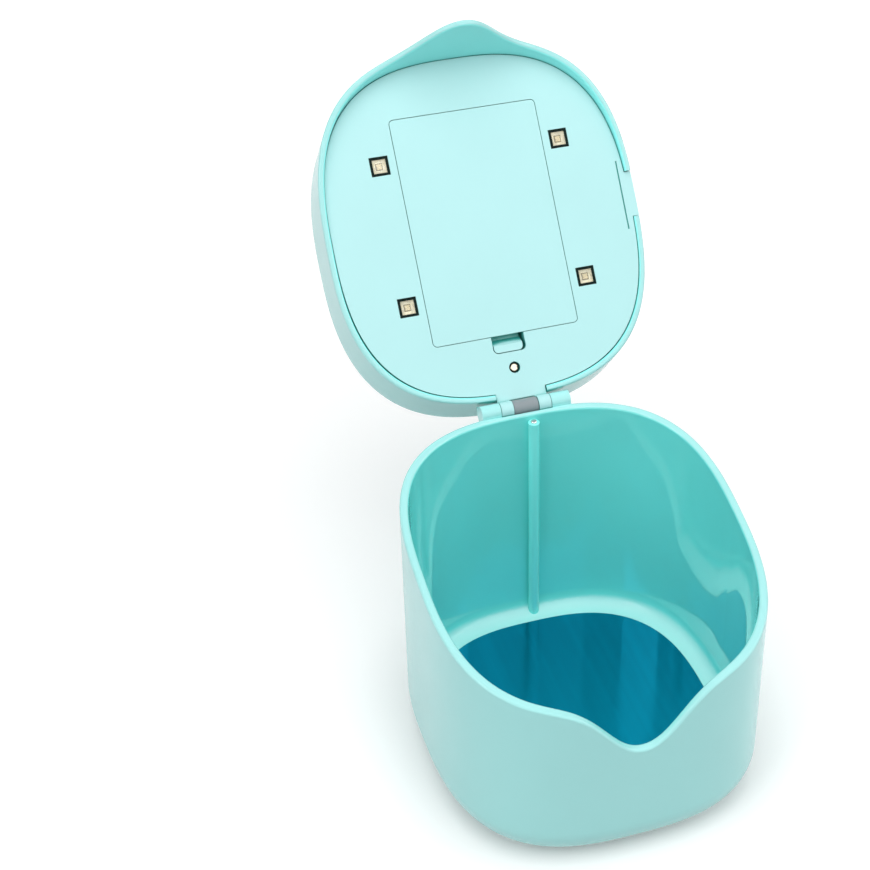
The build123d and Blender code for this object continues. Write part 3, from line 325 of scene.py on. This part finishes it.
# bare metal
METAL_SCALE = 400
METAL_DETAIL = 4
METAL_FINE_SCALE = 2500
METAL_GRAIN = 0.003 * MM
LIGHTER_SHARE = 0.6

# panel screw, with a painted shadow round its head
SCREW_FACE = 0.6 * MM
SCREW_RIM = 0.9 * MM
SCREW_DETAIL = 3
SCREW_BRIGHT = (0.85, 1.05)
SCREW_SHADOW_SHARES = (0.7, 1.3)
SCREW_ROUGH = (0.3, 0.45)
SCREW_GRAIN = 0.004 * MM

# wrapped cells
CELL_BARE_END = 1.1 * MM
CELL_TWO_TONE = 0.7
CELL_SCALE = 300
CELL_DETAIL = 4
CELL_FINE_SCALE = 1200
CELL_ROUGH = (0.2, 0.32)
FILM_DARK = ((0.012, 0.03, 0.034), (0.018, 0.042, 0.046))
FILM_BRIGHT = ((0.42, 0.23, 0.07), (0.5, 0.28, 0.09))
CAN_STEEL = ((0.5, 0.5, 0.5), (0.62, 0.62, 0.61))

# lamp windows
QUARTZ_IOR = 1.46
QUARTZ_TINT = (0.97, 0.99, 1.0, 1)
QUARTZ_SCALE = 1500
QUARTZ_ROUGH = (0.0, 0.04)


def shader_parts(name):
    """A material, its node tree, its shader, and the place and normal in the shared frame."""
    material = bpy.data.materials.new(name)
    material.use_nodes = True
    tree = material.node_tree
    tree.nodes.clear()
    out = tree.nodes.new("ShaderNodeOutputMaterial")
    shader = tree.nodes.new("ShaderNodeBsdfPrincipled")
    tree.links.new(shader.outputs[0], out.inputs[0])
    coordinates = tree.nodes.new("ShaderNodeTexCoord").outputs
    return material, tree, shader, coordinates["Object"], coordinates["Normal"]


def scaled(colour, share):
    return tuple(min(1.0, c * share) for c in colour)


def varied(tree, value, colour, share=FLOW_SHARE):
    """The colour, a little darker and lighter with the value."""
    return mixed(tree, value, scaled(colour, 1 - share), scaled(colour, 1 + share))


def flow_marks(tree, place):
    return noise(tree, place, FLOW_SCALE, FLOW_DETAIL)


def box_middle(node):
    low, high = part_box(node)
    return (Vector(low) + Vector(high)) / 2


def painted_recess_shade(tree, surface, deep):
    """Painted shade: the surface colour turns to the given darker colour in seams and narrow
    recesses, found by ambient occlusion.
    """
    in_open = smooth(tree, occlusion(tree, RECESS_REACH), RECESS_CLOSED, RECESS_OPEN)
    return mixed(tree, in_open, deep, surface)


def satin_finish(tree, shader, place, rough, grain):
    """Fine unevenness in the gloss and in the surface."""
    fine = noise(tree, place, FINE_SCALE, FINE_DETAIL)
    tree.links.new(ramp(tree, fine, *rough), shader.inputs["Roughness"])
    bump(tree, shader, fine, grain)
    shader.inputs["IOR"].default_value = PLASTIC_IOR


def moulded(name, colour, rough, grain=GRAIN, deep=None, specular=0.5):
    """Injection-moulded plastic: faint flow marks in the colour, fine unevenness in the gloss, and
    painted shade in seams and recesses when a darker colour is given.
    """
    material, tree, shader, place, _ = shader_parts(name)
    surface = varied(tree, flow_marks(tree, place), colour)
    if deep:
        # painted shade in seams and narrow recesses
        surface = painted_recess_shade(tree, surface, deep)
    tree.links.new(surface, shader.inputs["Base Color"])
    satin_finish(tree, shader, place, rough, grain)
    shader.inputs["Specular IOR Level"].default_value = specular
    return material


def lid_plastic(name, outside, inside, seam_shade, rough):
    """Glossy mint, with painted light: a brighter, fuller copy of the mint on the inner side of the
    lid's skirt and tongue; and painted shade in seams and recesses.
    """
    material, tree, shader, place, normal = shader_parts(name)
    outward = vector_math(tree, "SUBTRACT", place, box_middle("lid_panel"))
    along_out = vector_math(tree, "PROJECT", outward, PANEL_OUT)
    flat = vector_math(tree, "NORMALIZE", vector_math(tree, "SUBTRACT", outward, along_out))
    facing = vector_math(tree, "DOT_PRODUCT", flat, normal)
    inner = smooth(tree, facing, SKIRT_EDGE, SKIRT_FULL)
    flow = flow_marks(tree, place)
    # painted light: a brighter, fuller mint on the inner side of the skirt
    surface = mixed(tree, inner, varied(tree, flow, outside), varied(tree, flow, inside))
    tree.links.new(painted_recess_shade(tree, surface, seam_shade), shader.inputs["Base Color"])
    satin_finish(tree, shader, place, rough, GRAIN)
    return material


def near_post(tree, x, y):
    """1 on the post that holds the magnet, 0 away from it."""
    middle = box_middle("switch_magnet")
    squares = []
    for value, center in ((x, middle.x), (y, middle.y)):
        off = math(tree, "ABSOLUTE", math(tree, "SUBTRACT", value, center))
        squares.append(math(tree, "POWER", off, 2.0))
    away = math(tree, "SQRT", math(tree, "ADD", *squares))
    ahead = math(tree, "LESS_THAN", y, middle.y + POST_SHOWS)
    return math(tree, "MULTIPLY", math(tree, "LESS_THAN", away, POST_REACH), ahead)


def within_bowl(tree, x, y):
    """1 inside the bowl's outline, 0 on the outer wall."""
    powers = []
    for value, half in ((x, BOWL_HALF_WIDTH), (y, BOWL_HALF_DEPTH)):
        share = math(tree, "ABSOLUTE", math(tree, "DIVIDE", value, half))
        powers.append(math(tree, "POWER", share, OUTLINE_POWER))
    return smooth(tree, math(tree, "ADD", *powers), OUTLINE_OUT, OUTLINE_IN)


def bowl_plastic(name, outside, inside, ledge, post, rough, polish):
    """Glossy mint, polished on the bowl's upright walls; painted shade gives those walls a deeper
    copy of the mint, painted light a paler one to its ledge and post.
    """
    material, tree, shader, place, normal = shader_parts(name)
    x, y, z = split(tree, place)
    within = within_bowl(tree, x, y)
    tilt = math(tree, "ABSOLUTE", split(tree, normal)[2])
    upright = smooth(tree, tilt, WALL_FLAT, WALL_UPRIGHT)
    inner = math(tree, "MULTIPLY", within, upright)
    low_inside = math(tree, "MULTIPLY", within, smooth(tree, z, LEDGE_OVER, LEDGE_UNDER))
    on_ledge = math(tree, "MULTIPLY", low_inside, math(tree, "SUBTRACT", 1.0, upright))
    flow = flow_marks(tree, place)
    # painted shade: a deeper, more saturated mint on the upright inner walls, standing in for light
    # bounced inside the bowl
    walls = mixed(tree, inner, varied(tree, flow, outside), varied(tree, flow, inside))
    # painted light: a paler mint on the post, standing in for its highlight
    walls = mixed(tree, near_post(tree, x, y), walls, varied(tree, flow, post, LEDGE_FLOW_SHARE))
    # painted light: a paler mint on the ledge, which faces the top lamp
    surface = mixed(tree, on_ledge, walls, varied(tree, flow, ledge, LEDGE_FLOW_SHARE))
    tree.links.new(surface, shader.inputs["Base Color"])
    fine = noise(tree, place, FINE_SCALE, FINE_DETAIL)
    satin = ramp(tree, fine, *rough)
    polished = ramp(tree, fine, *polish)
    step = math(tree, "MULTIPLY", math(tree, "SUBTRACT", polished, satin), inner)
    tree.links.new(math(tree, "ADD", satin, step), shader.inputs["Roughness"])
    tree.links.new(math(tree, "MULTIPLY", inner, WALL_COAT), shader.inputs["Coat Weight"])
    shader.inputs["Coat Roughness"].default_value = WALL_COAT_ROUGH
    bump(tree, shader, fine, BOWL_GRAIN)
    shader.inputs["IOR"].default_value = PLASTIC_IOR
    return material


def metal(name, colour, rough, along=(1, 1, 1), contrast=0.1, wave=0.0):
    """Metal with fine marks; along shortens the axis they run along, wave is how deep they roll. On
    the mirror plate the stripes of colour are painted reflection.
    """
    material, tree, shader, place, _ = shader_parts(name)
    place = vector_math(tree, "MULTIPLY", place, along)
    marks = noise(tree, place, METAL_SCALE, METAL_DETAIL)
    darker = scaled(colour, 1 - contrast)
    lighter = scaled(colour, 1 + contrast * LIGHTER_SHARE)
    tree.links.new(mixed(tree, marks, darker, lighter), shader.inputs["Base Color"])
    fine = noise(tree, place, METAL_FINE_SCALE, FINE_DETAIL)
    tree.links.new(ramp(tree, fine, *rough), shader.inputs["Roughness"])
    bump(tree, shader, marks if wave else fine, wave or METAL_GRAIN)
    shader.inputs["Metallic"].default_value = 1.0
    return material


def screw_head(name, face, edge):
    """Plated screw, bright in the middle of its head, with a painted shadow of its hole in a dark
    ring round the head.
    """
    material, tree, shader, place, _ = shader_parts(name)
    out = vector_math(tree, "SUBTRACT", place, box_middle("panel_screw"))
    away = vector_math(tree, "LENGTH", vector_math(tree, "CROSS_PRODUCT", out, PANEL_OUT))
    # painted shadow: the head turns dark towards its rim, where the shadow of its hole would fall
    rim = smooth(tree, away, SCREW_FACE, SCREW_RIM)
    worn = noise(tree, place, FINE_SCALE, SCREW_DETAIL)
    bright = mixed(tree, worn, *(scaled(face, share) for share in SCREW_BRIGHT))
    dark = mixed(tree, worn, *(scaled(edge, share) for share in SCREW_SHADOW_SHARES))
    tree.links.new(mixed(tree, rim, bright, dark), shader.inputs["Base Color"])
    tree.links.new(ramp(tree, worn, *SCREW_ROUGH), shader.inputs["Roughness"])
    bump(tree, shader, worn, SCREW_GRAIN)
    shader.inputs["Metallic"].default_value = 1.0
    return material


def cell_reach():
    """How far ahead in the lid the cells begin and end."""
    reach = []
    for name in ("aaa_cell_1", "aaa_cell_2", "aaa_cell_3"):
        reach += [v.co.dot(PANEL_AHEAD) for v in NODES[name].data.vertices]
    return min(reach), max(reach)


def wrapped_cell(name):
    """A cell's can in a two-tone film, with bare steel at both ends."""
    material, tree, shader, place, _ = shader_parts(name)
    ahead = vector_math(tree, "DOT_PRODUCT", place, PANEL_AHEAD)
    low, high = cell_reach()
    film = math(tree, "MULTIPLY", math(tree, "GREATER_THAN", ahead, low + CELL_BARE_END),
                math(tree, "LESS_THAN", ahead, high - CELL_BARE_END))
    band = math(tree, "GREATER_THAN", ahead, low + CELL_TWO_TONE * (high - low))
    worn = noise(tree, place, CELL_SCALE, CELL_DETAIL)
    dark, bright, steel = (mixed(tree, worn, *pair) for pair in (FILM_DARK, FILM_BRIGHT, CAN_STEEL))
    printed = mixed(tree, band, dark, bright)
    tree.links.new(mixed(tree, film, steel, printed), shader.inputs["Base Color"])
    tree.links.new(math(tree, "SUBTRACT", 1.0, film), shader.inputs["Metallic"])
    fine = noise(tree, place, CELL_FINE_SCALE, FINE_DETAIL)
    tree.links.new(ramp(tree, fine, *CELL_ROUGH), shader.inputs["Roughness"])
    bump(tree, shader, worn, GRAIN)
    return material


def glass(name):
    material, tree, shader, place, _ = shader_parts(name)
    shader.inputs["Base Color"].default_value = QUARTZ_TINT
    shader.inputs["Transmission Weight"].default_value = 1.0
    shader.inputs["IOR"].default_value = QUARTZ_IOR
    fine = noise(tree, place, QUARTZ_SCALE, FINE_DETAIL)
    tree.links.new(ramp(tree, fine, *QUARTZ_ROUGH), shader.inputs["Roughness"])
    return material


MINT = (0.39, 0.82, 0.81)
# painted light: paler mint for the bowl's ledge
MINT_LIT_LEDGE = (0.57, 0.99, 0.96)
# painted shade: deeper mint for the bowl's upright inner walls
MINT_SHADED_WALL = (0.2, 0.84, 0.8)
# painted light: paler mint for the magnet post
MINT_LIT_POST = (0.27, 0.95, 0.91)
# painted shade: the lid's outside is a slightly darker copy of the base mint, to tone down the
# light that falls on the lid
MINT_LID = (0.38, 0.79, 0.78)
# painted light: brighter, fuller mint for the inner side of the lid's skirt and tongue
MINT_LIT_SKIRT = (0.3, 0.95, 0.92)
# painted shade: the dark teal that seams and narrow recesses of the lid and panel turn to
MINT_RECESS_SHADE = (0.05, 0.42, 0.38)
PALE = (0.455, 0.79, 0.795)
MIRROR = (0.005, 0.3, 0.48)
# mirror plate streaks: their bump is a rolling surface, their lighter and darker stripes of colour
# are painted reflection of the walls' highlights
STREAKS = (1, 0.02, 1)
PAINTED_STREAK_CONTRAST = 0.22
STREAK_DEPTH = 0.03 * MM
GLOSSY = (0.16, 0.24)
POLISHED = (0.03, 0.06)
MATERIALS = {
    "base_mint": bowl_plastic("mint_bowl", MINT, MINT_SHADED_WALL, MINT_LIT_LEDGE, MINT_LIT_POST,
                              GLOSSY, POLISHED),
    "lid_mint": lid_plastic("mint_lid", MINT_LID, MINT_LIT_SKIRT, MINT_RECESS_SHADE, GLOSSY),
    # the panel gets painted shade in its seams and recesses
    "panel_mint": moulded("mint_panel", PALE, (0.3, 0.38), deep=MINT_RECESS_SHADE),
    "button_mint": moulded("mint_button", PALE, (0.25, 0.35)),
    "pad_rubber": moulded("rubber_pad", (0.16, 0.3, 0.3), (0.6, 0.75)),
    # the mirror's stripes of colour are painted reflection
    "mirror_blue": metal("blue_mirror", MIRROR, (0.1, 0.18), STREAKS, PAINTED_STREAK_CONTRAST,
                         STREAK_DEPTH),
    "hinge_steel": moulded("grey_steel", (0.26, 0.3, 0.32), (0.5, 0.62), STEEL_GRAIN),
    "magnet_plating": metal("nickel", (0.8, 0.8, 0.78), (0.15, 0.2)),
    # the second, near-black colour is a painted shadow round the screw head
    "yellow_zinc": screw_head("yellow_zinc", (0.9, 0.84, 0.66), (0.03, 0.032, 0.026)),
    "board_green": moulded("board_green", (0.02, 0.17, 0.08), (0.3, 0.4)),
    "screw_steel": metal("screw_steel", (0.55, 0.55, 0.56), (0.25, 0.35)),
    "pin_gold": metal("pin_gold", (0.85, 0.62, 0.25), (0.15, 0.25)),
    "chip_black": moulded("chip_black", (0.02, 0.02, 0.022), (0.45, 0.6)),
    "ferrite_grey": moulded("ferrite", (0.06, 0.06, 0.065), (0.5, 0.7)),
    "capacitor_tan": moulded("capacitor", (0.36, 0.25, 0.15), (0.3, 0.4)),
    "indicator_body": moulded("indicator", (0.8, 0.8, 0.74), (0.2, 0.3)),
    "lens_milk": moulded("milk_lens", (0.85, 0.88, 0.86), (0.1, 0.2)),
    "switch_black": moulded("switch_black", (0.02, 0.02, 0.022), (0.4, 0.55)),
    "plunger_white": moulded("plunger", (0.7, 0.7, 0.68), (0.3, 0.4)),
    "socket_metal": metal("socket_metal", (0.6, 0.61, 0.62), (0.2, 0.3)),
    "lamp_gold": moulded("lamp_ceramic", (0.95, 0.88, 0.66), (0.25, 0.4)),
    "quartz": glass("quartz"),
    "gasket_black": moulded("gasket_black", (0.004, 0.012, 0.01), (0.7, 0.85), specular=0.15),
    "cell_can": wrapped_cell("cell_film"),
    "spring_steel": metal("spring_steel", (0.62, 0.62, 0.6), (0.2, 0.3)),
}


def dress_nodes():
    """Gives each CAD node the finish of its material slot."""
    for row in frame["record"]["subparts"]:
        node = NODES[row["node"]]
        for slot in node.material_slots:
            slot.material = MATERIALS[row["material_slot"]]


# ---- lamp chips ---------------------------------------------------------------------
CAVITY_BELOW_GLASS = 0.575 * MM
CHIP_PAD_HALF = 0.86 * MM
CHIP_PAD_THICKNESS = 0.06 * MM
CHIP_PAD_CHAMFER = 0.3 * CHIP_PAD_THICKNESS
CHIP_PAD_CORNER = 0.2 * CHIP_PAD_HALF
CHIP_HALF = 0.6 * MM
CHIP_HEIGHT = 0.22 * MM
CHIP_CHAMFER = 0.2 * CHIP_HEIGHT
CHIP_TOP = CHIP_PAD_THICKNESS + CHIP_HEIGHT
WIRE_RADIUS = 0.035 * MM
WIRE_SIDES = 6
WIRE_STEPS = 8
WIRE_ARCH = 0.1 * MM
WIRE_START = 0.55 * CHIP_HALF
WIRE_END = 0.88 * CHIP_PAD_HALF
WIRE_OFF_CENTER = 0.3 * CHIP_HALF
PAD_MATERIAL, DIE_MATERIAL, WIRE_MATERIAL = range(3)
CHIP_MATERIALS = (
    metal("chip_pad", (0.16, 0.13, 0.06), (0.25, 0.4)),
    moulded("chip_die", (0.66, 0.54, 0.3), (0.15, 0.25)),
    metal("chip_wire", (0.12, 0.1, 0.06), (0.2, 0.3)),
)


def skinned(mesh, rings, material, soft):
    """Closes a solid through rings of equally many points."""
    rings = [[mesh.verts.new(point) for point in ring] for ring in rings]
    count = len(rings[0])
    for first, second in zip(rings, rings[1:]):
        for k in range(count):
            beside = (k + 1) % count
            face = mesh.faces.new((first[k], first[beside], second[beside], second[k]))
            face.material_index = material
            face.smooth = soft
    for ring in (list(reversed(rings[0])), rings[-1]):
        mesh.faces.new(ring).material_index = material


def swept(mesh, points, radius, material):
    """Adds a closed-ended tube through the points."""
    rings = []
    for i, point in enumerate(points):
        ahead = (points[min(i + 1, len(points) - 1)] - points[max(i - 1, 0)]).normalized()
        across = ahead.orthogonal().normalized()
        other = ahead.cross(across)
        turns = [2 * pi * k / WIRE_SIDES for k in range(WIRE_SIDES)]
        rings.append([point + (across * cos(a) + other * sin(a)) * radius for a in turns])
    skinned(mesh, rings, material, True)


def lamp_chip(number):
    """The plated pad, the chip on it and its two bond wires, on the floor of one lamp's cavity."""
    seat = box_middle(f"lamp_glass_{number}") - PANEL_OUT * CAVITY_BELOW_GLASS

    def spot(x, y, height):
        return seat + SIDE * x + PANEL_AHEAD * y + PANEL_OUT * height

    def square(half, corner, height):
        """A square outline with rounded corners, centred on the seat."""
        flat = half - corner
        points = []
        for cx, cy, start in ((1, 1, 0), (-1, 1, 90), (-1, -1, 180), (1, -1, 270)):
            for turn in (0, 45, 90):
                a = radians(start + turn)
                x, y = cx * flat + corner * cos(a), cy * flat + corner * sin(a)
                points.append(spot(x, y, height))
        return points

    mesh = bmesh.new()
    skinned(mesh, [square(CHIP_PAD_HALF, CHIP_PAD_CORNER, 0),
                   square(CHIP_PAD_HALF, CHIP_PAD_CORNER, CHIP_PAD_THICKNESS - CHIP_PAD_CHAMFER),
                   square(CHIP_PAD_HALF - CHIP_PAD_CHAMFER, CHIP_PAD_CORNER, CHIP_PAD_THICKNESS)],
            PAD_MATERIAL, False)
    skinned(mesh, [square(CHIP_HALF, CHIP_CHAMFER, CHIP_PAD_THICKNESS),
                   square(CHIP_HALF, CHIP_CHAMFER, CHIP_TOP - CHIP_CHAMFER),
                   square(CHIP_HALF - CHIP_CHAMFER, CHIP_CHAMFER, CHIP_TOP)], DIE_MATERIAL, False)
    for side in (-1, 1):
        path = []
        for step in range(WIRE_STEPS + 1):
            share = step / WIRE_STEPS
            out = side * (WIRE_START + share * (WIRE_END - WIRE_START))
            rise = CHIP_TOP * (1 - share) + CHIP_PAD_THICKNESS * share + WIRE_ARCH * sin(pi * share)
            path.append(spot(out, WIRE_OFF_CENTER * side, rise))
        swept(mesh, path, WIRE_RADIUS, WIRE_MATERIAL)
    data = bpy.data.meshes.new(f"lamp_chip_{number}")
    bmesh.ops.recalc_face_normals(mesh, faces=mesh.faces)
    mesh.to_mesh(data)
    mesh.free()
    for material in CHIP_MATERIALS:
        data.materials.append(material)
    chip = in_scene(f"lamp_chip_{number}", data)
    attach(chip, "lid")


make_camera()
make_world()
make_floor()
make_lights()
dress_nodes()
for number in (1, 2, 3, 4):
    lamp_chip(number)
bpy.context.scene.view_settings.view_transform = "Standard"
